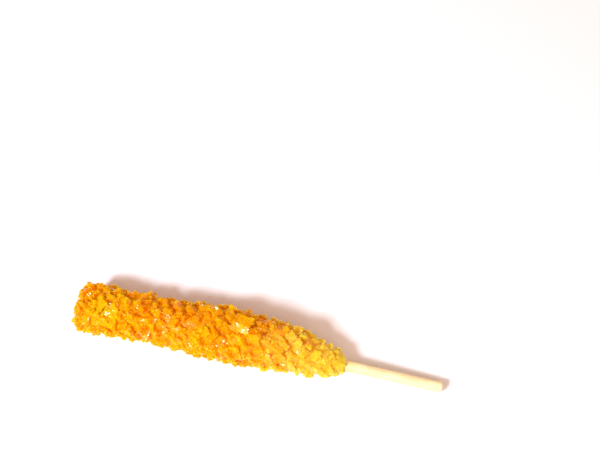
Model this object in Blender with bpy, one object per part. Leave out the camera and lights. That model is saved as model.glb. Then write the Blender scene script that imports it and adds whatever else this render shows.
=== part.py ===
"""Rock candy stick: amber sugar crystals grown round a plain round wooden stick, lying on its side.

Units are metres and +Z is up. The stick runs along +X and slopes down a little towards its free
end. The origin is under the middle of the bounding box, on the surface that the candy rests on.
Distances along the candy, called run, count from the middle of its blunt tip towards +X, and
angles round it count from +Y towards +Z.
"""

import math

import bmesh
import bpy
import numpy as np
from mathutils import Matrix, Vector

MM = 0.001

# Driving sizes of the candy: a cylinder with a bulge, a blunt tip and a shoulder that falls to a
# collar round the stick
CANDY_LENGTH = 113.5 * MM
CORE_RADIUS = 8.9 * MM
BULGE_HEIGHT = 0.13
BULGE_RUN = 68 * MM
BULGE_SPREAD = 18 * MM
TIP_ROUNDING = 6.5 * MM
TIP_SQUARENESS = 4.5
SHOULDER_LENGTH = 33 * MM
SHOULDER_SQUARENESS = 1.5
COLLAR_RADIUS = 2.9 * MM
LIP_HEIGHT = 0.4 * MM
LIP_SHARPNESS = 6
SWAY = 1.7 * MM
SWAY_START = 0.3 * math.pi
SWAY_END = 0.9 * math.pi
RESTING_GAP = 0.6 * MM

# Swellings of the core: share of the radius, waves along it, waves round it, and phase
LUMPS = ((0.040, 2.3, 2, 0.4), (0.032, 4.1, -3, 2.1), (0.024, 6.7, 1, 4.0))

# Driving sizes of the stick
STICK_DIAMETER = 4.6 * MM
STICK_LENGTH = 150 * MM
STICK_SLOPE = math.radians(4.6)
SUGAR_PAST_STICK = 5 * MM
STICK_AXIS_AT_COLLAR = 6.5 * MM
STICK_EDGE_ROUNDING = 0.4 * MM
CLEARANCE = 0.3 * MM

# Crystals: large blocks, small blocks between them, and one broad flat block on the bulge.
# A sink is the share of its size by which a crystal's middle lies under the core's surface.
CRYSTAL_SEED = 41
LARGE_CRYSTALS = 40
LARGE_SIZE = (5.2 * MM, 7.0 * MM)
LARGE_SINK = 0.36
SMALL_CRYSTALS = 330
SMALL_SIZE = (3.2 * MM, 5.0 * MM)
SMALL_SINK = 0.24
LEAST_SIZE_SHARE = 0.4
WIDTH_SHARE = (0.75, 1.0)
DEPTH_SHARE = (0.65, 0.9)
MOST_LEAN = 0.25
TILT = (0.1, 1.1)
RUN_JITTER = 1 * MM
ANGLE_JITTER = 0.2
GOLDEN_ANGLE = math.pi * (3 - math.sqrt(5))
BLOCK_SIZE = (7.6 * MM, 6.8 * MM, 4.6 * MM)
BLOCK_RUN = 70 * MM
BLOCK_ANGLE = math.radians(76)
BLOCK_TURN = math.radians(-14)
BLOCK_LEAN = 0.1

# Sections of a crystal as shares of its width and depth. A large one has two corners cut off.
LARGE_SECTION = (
    (-0.50, -0.50), (0.22, -0.50), (0.50, -0.12),
    (0.50, 0.50), (-0.22, 0.50), (-0.50, 0.12),
)
SMALL_SECTION = ((-0.50, -0.50), (0.50, -0.42), (0.50, 0.50), (-0.50, 0.42))

# Facets
CORE_RINGS = 22
CORE_SEGMENTS = 12
RING_CROWDING = 0.55
STICK_SEGMENTS = 24

# Colours as linear red, green, blue and alpha
SUGAR_COLOUR = (0.90, 0.37, 0.012, 1)
WOOD_COLOUR = (0.90, 0.72, 0.40, 1)


def clear_scene():
    for scene_object in list(bpy.data.objects):
        bpy.data.objects.remove(scene_object)


def material(name, colour, roughness):
    made = bpy.data.materials.new(name)
    made.use_nodes = True
    shader = made.node_tree.nodes["Principled BSDF"]
    shader.inputs["Base Color"].default_value = colour
    shader.inputs["Roughness"].default_value = roughness
    shader.inputs["Metallic"].default_value = 0
    made.diffuse_color = colour
    return made


def into_shoulder(run):
    """0 up to where the shoulder starts, then rising to 1 at the collar."""
    return max(0.0, 1 - (CANDY_LENGTH - run) / SHOULDER_LENGTH)


def core_radius(run):
    """Mean radius of the sugar under its crystals: a cylinder with a slight bulge, a blunt
    superellipse at the tip, and a longer one that falls to a collar round the stick."""
    radius = CORE_RADIUS * (1 + BULGE_HEIGHT * math.exp(-(((run - BULGE_RUN) / BULGE_SPREAD) ** 2)))
    into_tip = max(0.0, 1 - run / TIP_ROUNDING)
    radius *= (1 - into_tip**TIP_SQUARENESS) ** (1 / TIP_SQUARENESS)
    fall = (1 - into_shoulder(run) ** SHOULDER_SQUARENESS) ** (1 / SHOULDER_SQUARENESS)
    return COLLAR_RADIUS + (radius - COLLAR_RADIUS) * fall if into_shoulder(run) else radius


def swelling(run, angle):
    """Share by which the core swells or sinks at this place, from a few long waves."""
    along = run / CANDY_LENGTH * math.tau
    return sum(
        share * math.sin(waves_along * along + waves_round * angle + phase)
        for share, waves_along, waves_round, phase in LUMPS
    )


def stick_height(run):
    """Height of the stick's axis over the resting surface."""
    return STICK_AXIS_AT_COLLAR + (CANDY_LENGTH - run) * math.tan(STICK_SLOPE)


def core_centre(run):
    """Middle of the sugar at this run. The body lies over the resting surface by a small gap that
    its crystals fill, sways to one side, and meets the stick's axis at the collar."""
    body_run = min(max(run, TIP_ROUNDING), CANDY_LENGTH - SHOULDER_LENGTH)
    resting = core_radius(body_run) + RESTING_GAP
    late = into_shoulder(run)
    height = resting + (stick_height(run) - resting) * late**2 * (3 - 2 * late)
    sway = SWAY * math.sin(SWAY_START + (SWAY_END - SWAY_START) * run / CANDY_LENGTH)
    return Vector((run, sway * (1 - late**3), height))


def core_point(run, angle):
    """Point of the lumpy core's surface, with a lip where the sugar creeps up round the stick."""
    lip = LIP_HEIGHT * into_shoulder(run) ** LIP_SHARPNESS
    radius = core_radius(run) * (1 + swelling(run, angle)) + lip
    return core_centre(run) + radius * Vector((0, math.cos(angle), math.sin(angle)))


def core_runs():
    """Places of the rings: partly even, partly crowded towards both ends, where the core curves."""
    even = np.linspace(0, 1, CORE_RINGS + 1)
    crowded = (1 - np.cos(even * math.pi)) / 2
    return CANDY_LENGTH * (even + RING_CROWDING * (crowded - even))


def core_mesh():
    """Closed skin of the core: rings of points, with a pole at the tip and a flat cap round the
    stick."""
    mesh = bmesh.new()
    angles = [math.tau * k / CORE_SEGMENTS for k in range(CORE_SEGMENTS)]
    rings = [
        [mesh.verts.new(core_point(float(run), angle)) for angle in angles]
        for run in core_runs()[1:]
    ]
    tip = mesh.verts.new(core_centre(0.0))
    for k in range(CORE_SEGMENTS):
        after = (k + 1) % CORE_SEGMENTS
        mesh.faces.new((tip, rings[0][after], rings[0][k]))
        for near, far in zip(rings, rings[1:]):
            mesh.faces.new((near[k], near[after], far[after], far[k]))
    mesh.faces.new(rings[-1])
    return finished_mesh(mesh, "core")


def finished_mesh(mesh, name):
    """Turns the faces outwards and puts the bmesh into a new mesh."""
    bmesh.ops.recalc_face_normals(mesh, faces=mesh.faces)
    made = bpy.data.meshes.new(name)
    mesh.to_mesh(made)
    mesh.free()
    return made


def crystal_mesh(section, length, width, depth, lean):
    """A sugar crystal: a prism on this section, whose ends lean like those of a slanted block."""
    mesh = bmesh.new()
    ends = []
    for side in (-0.5, 0.5):
        points = [(side * length + lean * v * depth, u * width, v * depth) for u, v in section]
        ends.append([mesh.verts.new(point) for point in points])
    mesh.faces.new(ends[0])
    mesh.faces.new(ends[1])
    for k in range(len(section)):
        after = (k + 1) % len(section)
        mesh.faces.new((ends[0][k], ends[0][after], ends[1][after], ends[1][k]))
    return finished_mesh(mesh, "crystal")


def surface_frame(run, angle):
    """Point and outward direction of the core's surface, from points a small step away."""
    run_step, angle_step = 0.5 * MM, 0.05
    before = core_point(max(run - run_step, 0.1 * run_step), angle)
    behind = core_point(min(run + run_step, CANDY_LENGTH), angle)
    sideways = core_point(run, angle + angle_step) - core_point(run, angle - angle_step)
    normal = sideways.cross(behind - before)
    if normal.dot(core_point(run, angle) - core_centre(run)) < 0:
        normal.negate()
    return core_point(run, angle), normal.normalized()


def even_runs(count):
    """Runs that give every crystal the same share of the core's surface."""
    fine = np.linspace(0, CANDY_LENGTH, 400)
    radii = np.array([core_radius(float(run)) for run in fine])
    strips = np.hypot(np.diff(fine), np.diff(radii)) * (radii[1:] + radii[:-1]) / 2
    area = np.concatenate(([0], np.cumsum(strips)))
    wanted = (np.arange(count) + 0.5) / count * area[-1]
    return np.interp(wanted, area, fine)


def place_crystal(shape, place, turn):
    crystal = bpy.data.objects.new("crystal", shape)
    crystal.matrix_world = Matrix.Translation(place) @ turn.to_4x4()
    return crystal


def grow_crystals(draw, section, count, size_range, sink, first_angle):
    """Crystals spread over the core on a golden-angle spiral, each turned its own way, and
    smaller where the core is thin."""
    grown = []
    for k, run in enumerate(even_runs(count)):
        angle = first_angle + k * GOLDEN_ANGLE + draw.uniform(-ANGLE_JITTER, ANGLE_JITTER)
        run = float(np.clip(run + draw.uniform(-RUN_JITTER, RUN_JITTER), 0.1 * MM, CANDY_LENGTH - 0.4 * MM))
        thickness = min(1.0, core_radius(run) / CORE_RADIUS)
        size = draw.uniform(*size_range) * (LEAST_SIZE_SHARE + (1 - LEAST_SIZE_SHARE) * thickness)
        width = size * draw.uniform(*WIDTH_SHARE)
        depth = size * draw.uniform(*DEPTH_SHARE)
        shape = crystal_mesh(section, size, width, depth, draw.uniform(-MOST_LEAN, MOST_LEAN))
        point, normal = surface_frame(run, angle)
        turn = normal.to_track_quat("Z", "Y").to_matrix()
        turn @= Matrix.Rotation(draw.uniform(0, math.tau), 3, "Z")
        turn @= Matrix.Rotation(draw.uniform(*TILT), 3, "Y")
        turn @= Matrix.Rotation(draw.uniform(0, math.tau), 3, "X")
        grown.append(place_crystal(shape, point - normal * size * sink, turn))
    return grown


def flat_block():
    """The one big crystal that lies with its broad face outwards on the bulge."""
    point, normal = surface_frame(BLOCK_RUN, BLOCK_ANGLE)
    along = (Vector((1, 0, 0)) - normal * normal.x).normalized()
    turn = Matrix((along, normal.cross(along), normal)).transposed()
    turn @= Matrix.Rotation(BLOCK_TURN, 3, "Z")
    return place_crystal(crystal_mesh(LARGE_SECTION, *BLOCK_SIZE, BLOCK_LEAN), point, turn)


def stick_axis():
    """Inner end of the stick and the direction that it runs in."""
    direction = Vector((math.cos(STICK_SLOPE), 0, -math.sin(STICK_SLOPE)))
    return Vector((SUGAR_PAST_STICK, 0, stick_height(SUGAR_PAST_STICK))), direction


def rod_mesh(name, radius, length, rounding):
    """Round rod along +X from its inner end, with its edges eased by a bevel."""
    mesh = bmesh.new()
    bmesh.ops.create_cone(
        mesh, cap_ends=True, segments=STICK_SEGMENTS, radius1=radius, radius2=radius, depth=length
    )
    turn = Matrix.Rotation(math.pi / 2, 4, "Y")
    bmesh.ops.transform(mesh, matrix=Matrix.Translation((length / 2, 0, 0)) @ turn, verts=mesh.verts)
    if rounding:
        rims = [edge for edge in mesh.edges if abs(edge.verts[0].co.x - edge.verts[1].co.x) < rounding]
        bmesh.ops.bevel(mesh, geom=rims, offset=rounding, segments=2, profile=0.5, affect="EDGES")
    made = finished_mesh(mesh, name)
    made.shade_smooth()
    made.set_sharp_from_angle(angle=math.radians(50))
    return made


def box_mesh(name, low, high):
    mesh = bmesh.new()
    bmesh.ops.create_cube(mesh, size=1)
    stretch = Matrix.Diagonal((*(high - low), 1))
    bmesh.ops.transform(mesh, matrix=Matrix.Translation((low + high) / 2) @ stretch, verts=mesh.verts)
    return finished_mesh(mesh, name)


def add_object(name, mesh):
    made = bpy.data.objects.new(name, mesh)
    bpy.context.scene.collection.objects.link(made)
    return made


def add_cutter(name, mesh):
    cutter = add_object(name, mesh)
    cutter.hide_render = True
    cutter.display_type = "WIRE"
    return cutter


def place_on_axis(rod, start, direction):
    rod.location = start
    rod.rotation_euler = direction.to_track_quat("X", "Z").to_euler()


def add_boolean(target, operation, **operand):
    """A Boolean with the solver that is quick enough for hundreds of crystals."""
    modifier = target.modifiers.new(operation.lower(), "BOOLEAN")
    modifier.operation = operation
    modifier.solver = "MANIFOLD"
    for name, value in operand.items():
        setattr(modifier, name, value)


def apply_modifiers(target):
    graph = bpy.context.evaluated_depsgraph_get()
    finished = bpy.data.meshes.new_from_object(target.evaluated_get(graph))
    target.modifiers.clear()
    target.data = finished


def shell_from(face, waiting):
    """Every face that is joined to this one by edges, taken out of those waiting."""
    shell, front = set(), [face]
    while front:
        reached = front.pop()
        shell.add(reached)
        neighbours = {other for edge in reached.edges for other in edge.link_faces}
        front.extend(neighbours & waiting)
        waiting -= neighbours
    return shell


def keep_outer_shell(mesh):
    """Drops loose scraps and fills sealed hollows: only the shell of the largest volume stays."""
    work = bmesh.new()
    work.from_mesh(mesh)
    bmesh.ops.triangulate(work, faces=work.faces)
    waiting = set(work.faces)
    shells = []
    while waiting:
        shell = shell_from(waiting.pop(), waiting)
        corners = [[vertex.co for vertex in face.verts] for face in shell]
        shells.append((sum(a.dot(b.cross(c)) for a, b, c in corners), shell))
    shells.sort(key=lambda entry: entry[0])
    for _, shell in shells[:-1]:
        bmesh.ops.delete(work, geom=list(shell), context="FACES")
    work.to_mesh(mesh)
    work.free()


def build_candy(sugar):
    """Core and crystals in one union, less the hole for the stick and all that is under the
    resting surface."""
    draw = np.random.default_rng(CRYSTAL_SEED)
    candy = add_object("candy", core_mesh())
    crystals = bpy.data.collections.new("crystals")
    bpy.context.scene.collection.children.link(crystals)
    grown = grow_crystals(draw, LARGE_SECTION, LARGE_CRYSTALS, LARGE_SIZE, LARGE_SINK, 0.7)
    grown += grow_crystals(draw, SMALL_SECTION, SMALL_CRYSTALS, SMALL_SIZE, SMALL_SINK, 0.0)
    grown.append(flat_block())
    for crystal in grown:
        crystals.objects.link(crystal)
    start, direction = stick_axis()
    bore = add_cutter("bore", rod_mesh("bore", STICK_DIAMETER / 2 + CLEARANCE, STICK_LENGTH, 0))
    place_on_axis(bore, start - direction * CLEARANCE, direction)
    reach = 2 * CORE_RADIUS
    below = box_mesh("below", Vector((-reach, -reach, -reach)), Vector((CANDY_LENGTH + reach, reach, 0)))
    below = add_cutter("below", below)
    add_boolean(candy, "UNION", operand_type="COLLECTION", collection=crystals)
    add_boolean(candy, "DIFFERENCE", object=bore)
    add_boolean(candy, "DIFFERENCE", object=below)
    apply_modifiers(candy)
    for helper in grown + [bore, below]:
        bpy.data.objects.remove(helper)
    bpy.data.collections.remove(crystals)
    keep_outer_shell(candy.data)
    candy.data.materials.clear()
    candy.data.materials.append(sugar)
    return candy


def build_stick(wood):
    start, direction = stick_axis()
    stick = add_object("stick", rod_mesh("stick", STICK_DIAMETER / 2, STICK_LENGTH, STICK_EDGE_ROUNDING))
    place_on_axis(stick, start, direction)
    stick.data.materials.append(wood)
    return stick


def centre_on_footprint(parts):
    """Parents the parts to an empty that puts the origin under the middle of their box."""
    bpy.context.view_layer.update()
    corners = [part.matrix_world @ vertex.co for part in parts for vertex in part.data.vertices]
    low = [min(corner[axis] for corner in corners) for axis in range(2)]
    high = [max(corner[axis] for corner in corners) for axis in range(2)]
    whole = bpy.data.objects.new("rock_candy_stick", None)
    bpy.context.scene.collection.objects.link(whole)
    for part in parts:
        part.parent = whole
    whole.location = (-(low[0] + high[0]) / 2, -(low[1] + high[1]) / 2, 0)


def main():
    clear_scene()
    candy = build_candy(material("sugar", SUGAR_COLOUR, 0.25))
    stick = build_stick(material("wood", WOOD_COLOUR, 0.65))
    centre_on_footprint((candy, stick))


main()
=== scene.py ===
# %% [markdown]
# # Rock candy stick
#
# Rock candy is sugar that has slowly crystallised out of a thick syrup onto a wooden stick. Up
# close it is not a smooth sweet with a rough texture: it is thousands of separate blocks with
# flat faces, grown into each other at every angle, and all of them a little see-through. This
# notebook therefore grows real crystals instead of painting a rough pattern on a cylinder.
#
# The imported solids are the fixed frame. They already carry the true size, the lumps and the
# larger crystals, so everything below is worked out from them.

# %% Load the frame
import math

import bmesh
import bpy
import numpy as np
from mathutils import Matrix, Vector, kdtree


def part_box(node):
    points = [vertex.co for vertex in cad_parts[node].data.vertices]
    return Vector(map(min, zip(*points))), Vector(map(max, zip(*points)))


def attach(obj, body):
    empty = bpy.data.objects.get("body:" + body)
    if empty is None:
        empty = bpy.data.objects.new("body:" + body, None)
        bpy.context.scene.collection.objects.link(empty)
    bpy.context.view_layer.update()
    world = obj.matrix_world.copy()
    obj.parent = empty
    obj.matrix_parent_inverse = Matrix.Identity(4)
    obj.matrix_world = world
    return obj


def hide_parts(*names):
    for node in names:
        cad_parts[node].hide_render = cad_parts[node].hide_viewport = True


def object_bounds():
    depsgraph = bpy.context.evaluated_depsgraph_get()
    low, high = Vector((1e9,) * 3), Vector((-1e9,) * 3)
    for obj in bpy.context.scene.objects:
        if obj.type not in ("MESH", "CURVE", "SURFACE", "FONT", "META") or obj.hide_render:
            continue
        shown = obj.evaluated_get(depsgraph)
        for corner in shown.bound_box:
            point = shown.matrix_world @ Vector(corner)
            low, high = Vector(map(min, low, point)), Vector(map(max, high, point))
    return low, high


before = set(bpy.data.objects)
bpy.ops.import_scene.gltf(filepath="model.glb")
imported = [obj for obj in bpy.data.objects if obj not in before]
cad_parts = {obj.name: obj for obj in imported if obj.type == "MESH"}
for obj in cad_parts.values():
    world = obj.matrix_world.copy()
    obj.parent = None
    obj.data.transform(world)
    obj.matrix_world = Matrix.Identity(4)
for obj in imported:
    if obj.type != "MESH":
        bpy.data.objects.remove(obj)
cad_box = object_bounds()
MM = 0.001
scene = bpy.context.scene
box_mm = [[round(x / MM, 1) for x in corner] for corner in cad_box]
print("solids:", sorted(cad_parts), "box in mm:", box_mm)

# %% [markdown]
# ## Camera
#
# The photograph looks steeply down at the table, about 67 degrees, and from a little nearer the
# stick's bare end than straight across, so that end comes out lower in the picture. A camera is
# easiest to think about as a point on the table that it looks at, a direction to stand in, and a
# distance. The lens is a plain 50 mm one.

# %% Camera
AIM = Vector((5.8, 56.6, 0)) * MM
AZIMUTH = math.radians(12.0)
ELEVATION = math.radians(67)
DISTANCE = 376 * MM
LENS_MM = 50

back = Vector((
    math.sin(AZIMUTH) * math.cos(ELEVATION),
    -math.cos(AZIMUTH) * math.cos(ELEVATION),
    math.sin(ELEVATION),
))
camera_data = bpy.data.cameras.new("camera")
camera_data.lens = LENS_MM
camera_data.clip_start = 0.01
camera = bpy.data.objects.new("camera", camera_data)
scene.collection.objects.link(camera)
camera.location = AIM + back * DISTANCE
camera.rotation_euler = back.to_track_quat("Z", "Y").to_euler()
scene.camera = camera
print("camera stands", round(camera.location.z / MM), "mm over the table")

# %% [markdown]
# ## Light
#
# The photograph is bright and soft, with the shadows falling away from the viewer and to the
# right, so the main light stands in front on the left. One lamp alone would leave the far side
# of the candy dark and olive, so broad warm ones fill from the right and from behind, and a
# small hard one makes single crystal faces flash. The sky is warm because light that has been
# through amber sugar is, and a renderer can't follow all of it. Light bounces many times inside
# sugar, so the limits on bounces are raised.

# %% Light
SKY_COLOUR = (1.0, 0.59, 0.36, 1)
SKY_STRENGTH = 0.36

scene.view_settings.view_transform = "Standard"
scene.view_settings.look = "None"
scene.cycles.diffuse_bounces = 16
scene.cycles.transmission_bounces = 32
scene.cycles.max_bounces = 32


def add_lamp(name, direction, distance, size, watts, colour):
    """Square area lamp at this distance in this direction, turned to face the middle of the candy."""
    data = bpy.data.lights.new(name, "AREA")
    data.shape = "SQUARE"
    data.size = size
    data.energy = watts
    data.color = colour
    lamp = bpy.data.objects.new(name, data)
    scene.collection.objects.link(lamp)
    away = Vector(direction).normalized()
    lamp.location = away * distance
    lamp.rotation_euler = away.to_track_quat("Z", "Y").to_euler()
    print("lamp", name, "at", [round(x, 2) for x in lamp.location], "m")


add_lamp("key", (-0.52, -0.66, 0.90), distance=0.9, size=0.22, watts=11.4, colour=(0.94, 1.0, 1.04))
add_lamp("fill", (0.35, -0.45, 1.0), distance=1.0, size=0.7, watts=4.0, colour=(1.0, 0.84, 0.68))
add_lamp("behind", (0.35, 0.9, 0.38), distance=1.0, size=0.6, watts=2.8, colour=(1.0, 0.68, 0.42))
add_lamp("glint", (-0.15, 0.55, 1.1), distance=1.1, size=0.08, watts=0.9, colour=(1.0, 1.0, 1.0))

sky = bpy.data.worlds.new("warm_sky")
sky.use_nodes = True
sky.node_tree.nodes["Background"].inputs["Color"].default_value = SKY_COLOUR
sky.node_tree.nodes["Background"].inputs["Strength"].default_value = SKY_STRENGTH
scene.world = sky

# %% [markdown]
# ## Shader expressions
#
# A finish is arithmetic on numbers and colours. Placing and wiring its nodes by hand is hard to
# read, so two small classes let that arithmetic be written as Python expressions. `1 - mask`
# adds a Math node, and every other node comes from one method.

# %% Shader expressions
class Value:
    """A number or a colour that comes out of a node. Arithmetic on numbers adds Math nodes."""

    def __init__(self, finish, socket):
        self.finish = finish
        self.socket = socket

    def math(self, operation, first, second):
        return self.finish.node("Math", {"operation": operation}, {0: first, 1: second})

    def __add__(self, other):
        return self.math("ADD", self, other)

    def __sub__(self, other):
        return self.math("SUBTRACT", self, other)

    def __rsub__(self, other):
        return self.math("SUBTRACT", other, self)

    def __mul__(self, other):
        return self.math("MULTIPLY", self, other)

    __radd__ = __add__
    __rmul__ = __mul__


class Finish:
    """A material with a Principled shader, and the nodes that lead to it."""

    def __init__(self, name):
        self.material = bpy.data.materials.new(name)
        self.material.use_nodes = True
        self.tree = self.material.node_tree
        self.shader = self.tree.nodes["Principled BSDF"]
        self.place = self.node("TexCoord", {}, {}, "Object")

    def plug(self, node, inputs):
        """Gives each named socket of a node its number, or the link of a value."""
        for name, given in inputs.items():
            if isinstance(given, Value):
                self.tree.links.new(given.socket, node.inputs[name])
            else:
                node.inputs[name].default_value = given

    def node(self, kind, settings, inputs, output=0):
        """Adds a node: its settings first, because some of them change its sockets, and then
        the values or links of its sockets."""
        made = self.tree.nodes.new("ShaderNode" + kind)
        for name, setting in settings.items():
            setattr(made, name, setting)
        self.plug(made, inputs)
        return Value(self, made.outputs[output])

    def blend(self, share, first, second):
        """The first colour where share is 0, the second where it is 1."""
        return self.node("Mix", {"data_type": "RGBA"}, {0: share, 6: first, 7: second}, 2)

    def rise(self, value, low, high):
        """0 below low, 1 above high, and a smooth rise between."""
        limits = {"Value": value, "From Min": low, "From Max": high}
        return self.node("MapRange", {"interpolation_type": "SMOOTHSTEP"}, limits)

    def clouds(self, size):
        """Cloudy noise whose clouds are about this many metres wide."""
        return self.node("TexNoise", {}, {"Vector": self.place, "Scale": 1 / size})

    def attribute(self, name):
        """A number that the mesh carries under this name."""
        return self.node("Attribute", {"attribute_name": name}, {}, "Fac")


print("expressions ready in Blender", bpy.app.version_string)

# %% [markdown]
# ## Table
#
# The candy lies on a plain white sheet that runs out of the picture on every side. One large
# square is enough. It is rough, so that it takes a soft shadow and no mirror image, and a little
# blue, so that it still looks white under the warm lamps.

# %% Table
TABLE_HALF = 1.5
SHEET_COLOUR = (0.80, 0.79, 0.88, 1)
SHEET_ROUGHNESS = 0.7


def mesh_object(name, points, faces, smooth=False):
    """Object at the origin from an array of points and a list of faces."""
    mesh = bpy.data.meshes.new(name)
    mesh.from_pydata(np.asarray(points).tolist(), [], [list(face) for face in faces])
    if smooth:
        mesh.shade_smooth()
    made = bpy.data.objects.new(name, mesh)
    scene.collection.objects.link(made)
    return made


table_corners = TABLE_HALF * np.array([[-1, -1, 0], [1, -1, 0], [1, 1, 0], [-1, 1, 0]])
table = mesh_object("floor", table_corners, [[0, 1, 2, 3]])
sheet = Finish("pale_table")
sheet.plug(sheet.shader, {"Base Color": SHEET_COLOUR, "Roughness": SHEET_ROUGHNESS})
table.data.materials.append(sheet.material)
print("table:", 2 * TABLE_HALF, "m square")

# %% [markdown]
# ## Where the stick is
#
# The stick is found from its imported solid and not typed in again, so it can't drift from it.
# The direction in which a rod's points spread the most is its axis, and a singular value
# decomposition gives that direction.

# %% Find the stick's axis
def vertex_array(mesh):
    """All points of a mesh as one array with a row for each."""
    points = np.empty(len(mesh.vertices) * 3)
    mesh.vertices.foreach_get("co", points)
    return points.reshape(-1, 3)


def rod_of(points):
    """Start, end and radius of a straight rod, from points on it: its axis is their main
    direction, and its radius is the largest distance from that axis."""
    middle = points.mean(axis=0)
    axis = np.linalg.svd(points - middle, full_matrices=False)[2][0]
    axis *= np.sign(axis[0])
    along = (points - middle) @ axis
    radius = np.linalg.norm(points - middle - along[:, None] * axis, axis=1).max()
    return middle + along.min() * axis, middle + along.max() * axis, radius


stick_start, stick_end, stick_radius = rod_of(vertex_array(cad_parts["stick"].data))
stick_length = np.linalg.norm(stick_end - stick_start)
stick_axis = (stick_end - stick_start) / stick_length
stick_side = np.cross(stick_axis, [0, 0, 1.0])
stick_side /= np.linalg.norm(stick_side)
stick_top = np.cross(stick_side, stick_axis)
print("stick:", round(stick_length / MM, 1), "mm long,", round(2 * stick_radius / MM, 2), "mm thick")

# %% [markdown]
# ## Wooden stick
#
# The stick is birch dowel: pale, nearly round, with fine fibres that run its whole length and
# leave shallow grooves, and with edges that tumbling has worn round. A cylinder primitive would
# be too perfect, so the stick is worked out as a surface of two parameters, the distance along
# it and the angle round it.

# %% Stick surface
STICK_RINGS = 260
STICK_SIDES = 56
EDGE_ROUNDING = 0.4 * MM
EDGE_STEPS = 5
GROOVE_DEPTH = 0.022 * MM
FLAT_END = 0.9
DRIFT_SWING = 1.3
GROOVES = [(5, 0.5, 31), (9, 2.1, 47), (14, 4.0, 23), (21, 1.2, 61)]


def closed_tube(points):
    """Points and faces of a grid of rings by sides that closes round, with a fan of triangles on
    each end whose middle points come after the rings."""
    rings, sides = points.shape[:2]
    ring, side = np.meshgrid(np.arange(rings - 1), np.arange(sides), indexing="ij")
    beside = (side + 1) % sides
    quads = np.stack([
        ring * sides + side, ring * sides + beside,
        (ring + 1) * sides + beside, (ring + 1) * sides + side,
    ], axis=-1).reshape(-1, 4)
    side = np.arange(sides)
    beside = (side + 1) % sides
    first = np.stack([np.full(sides, rings * sides), beside, side], axis=1)
    last_ring = (rings - 1) * sides
    last = np.stack([np.full(sides, rings * sides + 1), last_ring + side, last_ring + beside], axis=1)
    middles = points[[0, -1]].mean(axis=1)
    all_points = np.concatenate([points.reshape(-1, 3), middles])
    return all_points, [*quads.tolist(), *first.tolist(), *last.tolist()]


def stick_surface():
    """Radius over distance and angle: the dowel's radius, less a quarter circle at each end,
    less grooves. A groove pattern is a sum of waves round the stick, each given by its count,
    its phase and the millimetres over which it drifts sideways, as fibres do. One more ring
    inside each rim keeps the cut ends flat."""
    ease = EDGE_ROUNDING * (1 - np.cos(np.linspace(0, math.pi / 2, EDGE_STEPS)))
    inner = np.linspace(EDGE_ROUNDING, stick_length - EDGE_ROUNDING, STICK_RINGS)[1:-1]
    along = np.concatenate([[0], ease, inner, stick_length - ease[::-1], [stick_length]])
    to_end = np.minimum(np.minimum(along, stick_length - along), EDGE_ROUNDING)
    edge = EDGE_ROUNDING - np.sqrt(np.maximum(2 * EDGE_ROUNDING * to_end - to_end**2, 0))
    angle = np.linspace(0, 2 * math.pi, STICK_SIDES, endpoint=False)
    s, a = np.meshgrid(along, angle, indexing="ij")
    wave = sum(
        np.sin(count * a + phase + DRIFT_SWING * np.sin(s / (drift * MM)))
        for count, phase, drift in GROOVES
    )
    radius = stick_radius - edge[:, None] - GROOVE_DEPTH * (1 + wave / len(GROOVES))
    radius[[0, -1]] *= FLAT_END
    round_part = np.cos(a)[..., None] * stick_side + np.sin(a)[..., None] * stick_top
    return stick_start + s[..., None] * stick_axis + radius[..., None] * round_part


stick = mesh_object("stick_wood", *closed_tube(stick_surface()), smooth=True)
print("stick surface:", len(stick.data.vertices), "points")

# %% [markdown]
# ## Birch
#
# Birch has long pale streaks along its fibres, with darker hair lines between them. A noise that
# is stretched along the stick makes both, so its coordinates are turned to the stick's axis and
# squeezed across it. Where the stick leaves the sugar it has soaked up syrup, and is a warmer
# yellow. It is sanded but not varnished, so it is rough and its bumps are hair fine.

# %% Birch finish
FIBRE_SCALE = (60, 1400, 1400)
SYRUP_REACH = 7 * MM
BIRCH_DARK = (0.70, 0.55, 0.30, 1)
BIRCH_PALE = (0.90, 0.80, 0.53, 1)
BIRCH_SYRUP = (0.88, 0.62, 0.20, 1)

birch = Finish("pale_birch")
turn = tuple(Vector(stick_axis).rotation_difference(Vector((1, 0, 0))).to_euler())
fibres = birch.node("Mapping", {}, {"Vector": birch.place, "Rotation": turn, "Scale": FIBRE_SCALE})
streaks = birch.node("TexNoise", {}, {"Vector": fibres, "Scale": 1.0, "Detail": 3.0})
hairs = birch.node("TexNoise", {}, {"Vector": fibres, "Scale": 4.0, "Detail": 2.0})
pale = (
    birch.rise(streaks, 0.35, 0.68) * 0.5 + birch.rise(hairs, 0.35, 0.65) * 0.25
    + birch.rise(birch.clouds(9 * MM), 0.35, 0.65) * 0.25
)
sugar_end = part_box("candy")[1][0]
across = birch.node("SeparateXYZ", {}, {"Vector": birch.place}, "X")
syrup = 1 - birch.rise(across, sugar_end, sugar_end + SYRUP_REACH)
wood = birch.blend(pale, BIRCH_DARK, BIRCH_PALE)
relief = {"Strength": 0.4, "Distance": 0.05 * MM, "Height": streaks * 0.5 + hairs * 0.5}
birch.plug(birch.shader, {
    "Base Color": birch.blend(syrup * 0.6, wood, BIRCH_SYRUP),
    "Roughness": streaks * 0.2 + 0.45,
    "Normal": birch.node("Bump", {}, relief),
})
stick.data.materials.append(birch.material)
print("sugar ends at x =", round(sugar_end / MM, 1), "mm, syrup reaches", SYRUP_REACH / MM, "mm on")

# %% [markdown]
# ## Crystals
#
# A sugar crystal is a slanted block. All of them share eight corners, so thousands are made at
# once: one array holds the eight corners of a unit block, another the length, width and depth of
# every crystal, and a third the turn of every crystal. Multiplying them gives the corners of all
# crystals together, without a loop.

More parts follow.
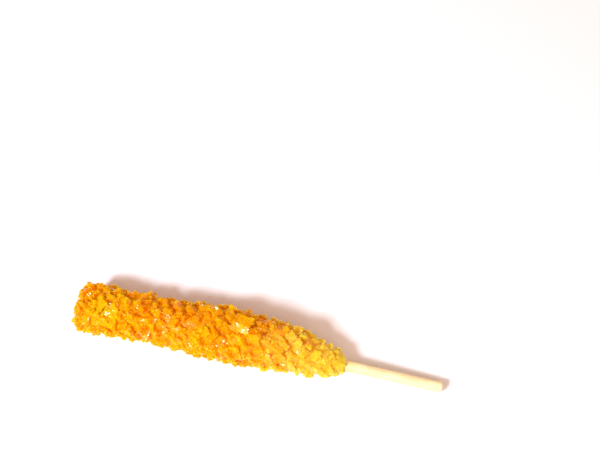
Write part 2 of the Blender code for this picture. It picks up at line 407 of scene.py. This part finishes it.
# %% Crystal blocks as arrays
BLOCK_CORNERS = np.array([[x, y, z] for z in (-0.5, 0.5) for y in (-0.5, 0.5) for x in (-0.5, 0.5)])
BLOCK_FACES = np.array([
    [0, 2, 3, 1], [4, 5, 7, 6], [0, 1, 5, 4],
    [2, 6, 7, 3], [0, 4, 6, 2], [1, 3, 7, 5],
])
WIDTH_SHARE = (0.65, 1.0)
DEPTH_SHARE = (0.55, 0.95)
MOST_TAPER = 0.45
MOST_SHEAR = 0.3


def random_turns(draw, count):
    """Evenly random rotation matrices, from four normal numbers each, read as a quaternion."""
    quaternion = draw.normal(size=(count, 4))
    w, x, y, z = (quaternion / np.linalg.norm(quaternion, axis=1)[:, None]).T
    rows = [
        1 - 2 * (y * y + z * z), 2 * (x * y - z * w), 2 * (x * z + y * w),
        2 * (x * y + z * w), 1 - 2 * (x * x + z * z), 2 * (y * z - x * w),
        2 * (x * z - y * w), 2 * (y * z + x * w), 1 - 2 * (x * x + y * y),
    ]
    return np.stack(rows, axis=1).reshape(count, 3, 3)


def block_points(draw, places, sizes):
    """Corners of slanted, tapering blocks: each unit corner is drawn in by a share that grows
    with its height, then multiplied by the block's sides, sheared, turned and moved to its
    place. The result has one row of eight points for each block."""
    count = len(places)
    sides = sizes[:, None] * np.stack([
        np.ones(count), draw.uniform(*WIDTH_SHARE, count), draw.uniform(*DEPTH_SHARE, count),
    ], axis=1)
    local = np.repeat(BLOCK_CORNERS[None], count, axis=0)
    local[:, :, :2] *= 1 - draw.uniform(0, MOST_TAPER, count)[:, None, None] * (local[:, :, 2:] + 0.5)
    local *= sides[:, None]
    local[:, :, 0] += draw.uniform(-MOST_SHEAR, MOST_SHEAR, count)[:, None] * local[:, :, 2]
    turned = np.einsum("nij,nkj->nki", random_turns(draw, count), local)
    return turned + places[:, None]


print("one crystal:", len(BLOCK_CORNERS), "corners and", len(BLOCK_FACES), "faces")

# %% [markdown]
# ## The skin that they grow on
#
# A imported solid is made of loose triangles. A copy of the sugar's solid is merged into one closed
# skin. Crystals grow all over it, but hardly on the broad flat faces of the largest ones, which
# stay bare and shiny, and not in the bore round the stick, so each triangle needs to know its
# area and the facet that it is part of.

# %% Copy the skin
BARE_FACET = 38 * MM**2
BARE_SHARE = 0.06
BORE_REACH = 0.8 * MM
MERGE_WITHIN = 0.001 * MM
NORMAL_STEPS = 40
PLANE_STEP = 0.05 * MM


def merged_copy(node, name):
    """Copy of a solid whose loose triangles are joined into one closed skin."""
    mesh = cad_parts[node].data.copy()
    mesh.materials.clear()
    work = bmesh.new()
    work.from_mesh(mesh)
    bmesh.ops.remove_doubles(work, verts=work.verts, dist=MERGE_WITHIN)
    work.to_mesh(mesh)
    work.free()
    made = bpy.data.objects.new(name, mesh)
    scene.collection.objects.link(made)
    return made


def skin_arrays(mesh):
    """Corner points of every triangle, their normals and their areas."""
    mesh.calc_loop_triangles()
    index = np.empty(len(mesh.loop_triangles) * 3, int)
    mesh.loop_triangles.foreach_get("vertices", index)
    corners = vertex_array(mesh)[index.reshape(-1, 3)]
    across = np.cross(corners[:, 1] - corners[:, 0], corners[:, 2] - corners[:, 0])
    double = np.linalg.norm(across, axis=1)
    return corners, across / np.maximum(double, 1e-15)[:, None], double / 2


def facet_areas(corners, normals, areas):
    """For each triangle, the area of the whole flat facet that it is part of: triangles whose
    rounded normals and rounded distances from the origin agree lie in one plane."""
    offsets = np.einsum("ij,ij->i", corners.mean(axis=1), normals)
    keys = np.round(np.column_stack([normals * NORMAL_STEPS, offsets / PLANE_STEP])).astype(int)
    _, group = np.unique(keys, axis=0, return_inverse=True)
    return np.bincount(group.ravel(), weights=areas)[group.ravel()]


def from_stick_axis(points):
    """Distance of each point from the stick's axis."""
    offset = points - stick_start
    return np.linalg.norm(offset - (offset @ stick_axis)[..., None] * stick_axis, axis=-1)


candy = merged_copy("candy", "sugar")
sugar_reach = ((vertex_array(candy.data) - stick_start) @ stick_axis).max()
corners, skin_normals, areas = skin_arrays(candy.data)
bare = facet_areas(corners, skin_normals, areas) > BARE_FACET
bore = (from_stick_axis(corners) < stick_radius + BORE_REACH).all(axis=1)
skin_mm2 = round(areas[~bore].sum() / MM**2)
bare_mm2 = round(areas[bare & ~bore].sum() / MM**2)
print("skin:", skin_mm2, "mm2,", bare_mm2, "mm2 of it bare")

# %% [markdown]
# ## Where the crystals grow
#
# Crystals are sown on the skin, each triangle getting its share by area. Large ones go first, and
# a crystal is skipped where an earlier one stands too close, which spreads them evenly without a
# grid. The underside, which lies on the table, gets fewer of them.

# %% Sow the crystals
SEED = 7
SOWN = 44000
MOST_GRAINS = 7000
GRAIN_SIZE = (0.6 * MM, 1.95 * MM)
SMALL_ONES = 5
SPACING = 0.30
SET_GAP = 0.05 * MM
UNDER_NORMAL = -0.6
UNDER_SHARE = 0.6
HALF_DIAGONAL = 0.87


def sow(draw, weights, count):
    """Random points on the skin, and the normal at each: a triangle is chosen by its weight, and
    a point on it by two random shares of its sides."""
    share = np.cumsum(weights) / weights.sum()
    chosen = np.searchsorted(share, draw.random(count))
    u, v = draw.random((2, count))
    u, v = 1 - np.sqrt(u), np.sqrt(u) * v
    a, b, c = corners[chosen].transpose(1, 0, 2)
    return a + (b - a) * u[:, None] + (c - a) * v[:, None], skin_normals[chosen]


def thin_out(places, sizes, most):
    """Numbers of the crystals to keep, and the set that each one goes in. Crystals of one set
    stay clear of each other, so that a set can be one closed mesh."""
    tree = kdtree.KDTree(len(places))
    for number, place in enumerate(places):
        tree.insert(place, number)
    tree.balance()
    sets = np.full(len(places), -1)
    kept = []
    for number, (place, size) in enumerate(zip(places, sizes)):
        reach = HALF_DIAGONAL * (size + GRAIN_SIZE[1]) + SET_GAP
        near = [(other, gap) for _, other, gap in tree.find_range(place, reach) if sets[other] >= 0]
        if any(gap < SPACING * (size + sizes[other]) for other, gap in near):
            continue
        taken = {
            sets[other] for other, gap in near
            if gap < HALF_DIAGONAL * (size + sizes[other]) + SET_GAP
        }
        sets[number] = next(free for free in range(len(taken) + 1) if free not in taken)
        kept.append(number)
        if len(kept) == most:
            break
    return np.array(kept), sets[kept]


draw = np.random.default_rng(SEED)
under = skin_normals[:, 2] < UNDER_NORMAL
weights = areas * np.where(bare, BARE_SHARE, 1.0) * np.where(under, UNDER_SHARE, 1.0) * ~bore
places, normals = sow(draw, weights, SOWN)
sizes = GRAIN_SIZE[0] + (GRAIN_SIZE[1] - GRAIN_SIZE[0]) * np.sort(draw.random(SOWN) ** SMALL_ONES)[::-1]
kept, grain_sets = thin_out(places, sizes, MOST_GRAINS)
places, normals, sizes = places[kept], normals[kept], sizes[kept]
print("crystals:", len(kept), "in", grain_sets.max() + 1, "sets,", (sizes[[-1, 0]] / MM).round(2), "mm")

# %% [markdown]
# ## Grow them together
#
# Where crystals meet they have grown into one body, with no walls left between them. A union
# does the same: it keeps only the outer surface. Hidden walls would show, because light travels
# inside sugar and would stop at them. Each crystal also carries a random number on its faces,
# and each face its height over the skin, which the union keeps and the finish uses.

# %% Crystals as closed meshes
GRAIN_SINK = 0.42


def unlinked(made):
    """Takes an object out of the scene, so that it only serves another one."""
    scene.collection.objects.unlink(made)
    return made


def face_values(mesh, name, values):
    """Stores one number for each face under this name."""
    mesh.attributes.new(name, "FLOAT", "FACE").data.foreach_set("value", values.astype(np.float32).ravel())


def grain_set(name, points, tints, lifts):
    """One mesh of separate closed blocks, with a tint and a lift for each of their faces."""
    count = len(points)
    faces = (BLOCK_FACES[None] + 8 * np.arange(count)[:, None, None]).reshape(-1, 4)
    made = unlinked(mesh_object(name, points.reshape(-1, 3), faces))
    face_values(made.data, "tint", np.repeat(tints, 6))
    face_values(made.data, "lift", lifts)
    return made


grain_points = block_points(draw, places - normals * sizes[:, None] * GRAIN_SINK, sizes)
grain_tints = draw.random(len(kept))
face_middles = grain_points[:, BLOCK_FACES].mean(axis=2)
grain_lifts = np.einsum("nfk,nk->nf", face_middles - places[:, None], normals) / MM
grain_meshes = [
    grain_set(f"grains_{number}", grain_points[chosen], grain_tints[chosen], grain_lifts[chosen])
    for number in range(grain_sets.max() + 1)
    for chosen in [grain_sets == number]
]
print("face heights over the skin in mm:", np.percentile(grain_lifts, [5, 50, 95]).round(2))

# %% [markdown]
# ## One body of sugar
#
# The solid keeps a narrow gap round the stick, which real sugar doesn't have, so a rod fills it
# before the stick goes through. The table has pressed the underside level, so whatever stands
# below it is cut off.

# %% Union
FILLER_SIDES = 24
FILLER_LAP = 0.5 * MM
UNDER_DEPTH = 5
BARE_GRAIN = 0.2


def combine(target, operation, pieces):
    """Joins the pieces to the target by one union, or cuts them from it by one difference, and
    gives the target the result as its mesh."""
    together = bpy.data.collections.new("together")
    scene.collection.children.link(together)
    for piece in pieces:
        together.objects.link(piece)
    boolean = target.modifiers.new("combine", "BOOLEAN")
    boolean.operation = operation
    boolean.solver = "MANIFOLD"
    boolean.operand_type = "COLLECTION"
    boolean.collection = together
    graph = bpy.context.evaluated_depsgraph_get()
    joined = bpy.data.meshes.new_from_object(target.evaluated_get(graph))
    target.modifiers.clear()
    target.data = joined
    for piece in pieces:
        bpy.data.objects.remove(piece)
    bpy.data.collections.remove(together)


skin_faces = len(candy.data.polygons)
face_values(candy.data, "tint", np.full(skin_faces, 0.5))
face_values(candy.data, "lift", np.zeros(skin_faces))
face_values(candy.data, "skin", np.where(bare, BARE_GRAIN, 1.0))
filler_ends = stick_start + np.array([[-BORE_REACH], [sugar_reach - BORE_REACH]]) * stick_axis
around = np.linspace(0, 2 * math.pi, FILLER_SIDES, endpoint=False)[:, None]
filler_ring = (stick_radius + FILLER_LAP) * (np.cos(around) * stick_side + np.sin(around) * stick_top)
filler = unlinked(mesh_object("filler", *closed_tube(filler_ends[:, None] + filler_ring)))
combine(candy, "UNION", [*grain_meshes, filler])
below = BLOCK_CORNERS * [1, 1, UNDER_DEPTH] - [0, 0, UNDER_DEPTH / 2]
combine(candy, "DIFFERENCE", [unlinked(mesh_object("below_table", below, BLOCK_FACES))])
candy.data.calc_loop_triangles()
print("sugar:", len(candy.data.loop_triangles), "triangles")

# %% [markdown]
# ## Amber sugar
#
# Amber sugar is deep orange where it is thick and golden where it is thin, so the candy's narrow
# end is golden over its thick one. The crystals' tips are paler than their feet: partly the thin
# tips' own tone, and partly painted shade, because the faces that lie low between the crystals
# are darkened where shade falls in the crevices. Light enters a crystal, wanders and leaves
# somewhere else, which is subsurface scattering: red travels furthest and blue hardly at all. A
# small share goes straight through, which keeps the crystals clear. Their faces are glossy but
# never perfect, so small cells tilt the normal a little, and more between the crystals, where the
# grain is too fine to be built. The broad bare facets of the solid get only a fifth of that, and
# stay nearly flat.

# %% Amber finish
AMBER_DEEP = (0.83, 0.25, 0.001, 1)
AMBER_LIGHT = (0.92, 0.53, 0.002, 1)
GOLD_DEEP = (1.0, 0.62, 0.01, 1)
GOLD_LIGHT = (1.0, 0.88, 0.17, 1)
THIN_FROM = -8 * MM
THIN_TO = 36 * MM
THIN_WANDER = 60 * MM
CELL_SIZE = 0.45 * MM
CELL_TILT = 0.1
SKIN_TILT = 0.3

amber = Finish("amber_sugar")
tint = amber.attribute("tint")
# Faces that lie low between the crystals are darker: painted shade in the crevices, on top of the paler
# tone of thin crystal tips.
tip_tone_and_crevice_shade = amber.rise(amber.attribute("lift"), -0.3, 1.0)
patches = amber.rise(amber.clouds(11 * MM), 0.38, 0.62)
mottle = amber.rise(amber.clouds(3.5 * MM), 0.35, 0.65)
along = amber.node("SeparateXYZ", {}, {"Vector": amber.place}, "X")
narrow = amber.rise(along + (amber.clouds(8 * MM) - 0.5) * THIN_WANDER, THIN_FROM, THIN_TO)
thick_part = amber.blend(patches * 0.36 + mottle * 0.2 + tint * 0.14 + tip_tone_and_crevice_shade * 0.3, AMBER_DEEP, AMBER_LIGHT)
thin_part = amber.blend(mottle * 0.3 + tint * 0.2 + tip_tone_and_crevice_shade * 0.5, GOLD_DEEP, GOLD_LIGHT)
cells = amber.node("TexVoronoi", {}, {"Vector": amber.place, "Scale": 1 / CELL_SIZE}, "Color")
outward = amber.node("NewGeometry", {}, {}, "Normal")
centred = amber.node("VectorMath", {"operation": "SUBTRACT"}, {0: cells, 1: (0.5, 0.5, 0.5)})
amount = amber.attribute("skin") * SKIN_TILT + CELL_TILT
tilt = amber.node("VectorMath", {"operation": "SCALE"}, {"Vector": centred, "Scale": amount})
tilted = amber.node("VectorMath", {"operation": "ADD"}, {0: outward, 1: tilt})
amber.plug(amber.shader, {
    "Base Color": amber.blend(narrow * 0.85, thick_part, thin_part),
    "Roughness": amber.rise(amber.clouds(0.8 * MM), 0.3, 0.8) * 0.12 + 0.04,
    "Normal": amber.node("VectorMath", {"operation": "NORMALIZE"}, {0: tilted}),
    "IOR": 1.54,
    "Specular IOR Level": 0.12,
    "Transmission Weight": 0.18,
    "Subsurface Weight": 1.0,
    "Subsurface Radius": (1.0, 0.8, 0.3),
    "Subsurface Scale": 4 * MM,
})
candy.data.materials.clear()
candy.data.materials.append(amber.material)
print("amber finish:", len(amber.tree.nodes), "nodes")

# %% [markdown]
# ## Put the pieces on the frame
#
# The candy has no joint, so both pieces ride on its one body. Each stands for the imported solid
# of the same thing, which is hidden from now on and still carries weight and collision.

# %% Put the pieces on the frame
for piece, node, slot in ((stick, "stick", "wood"), (candy, "candy", "sugar")):
    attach(piece, "root")
    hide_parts(node)
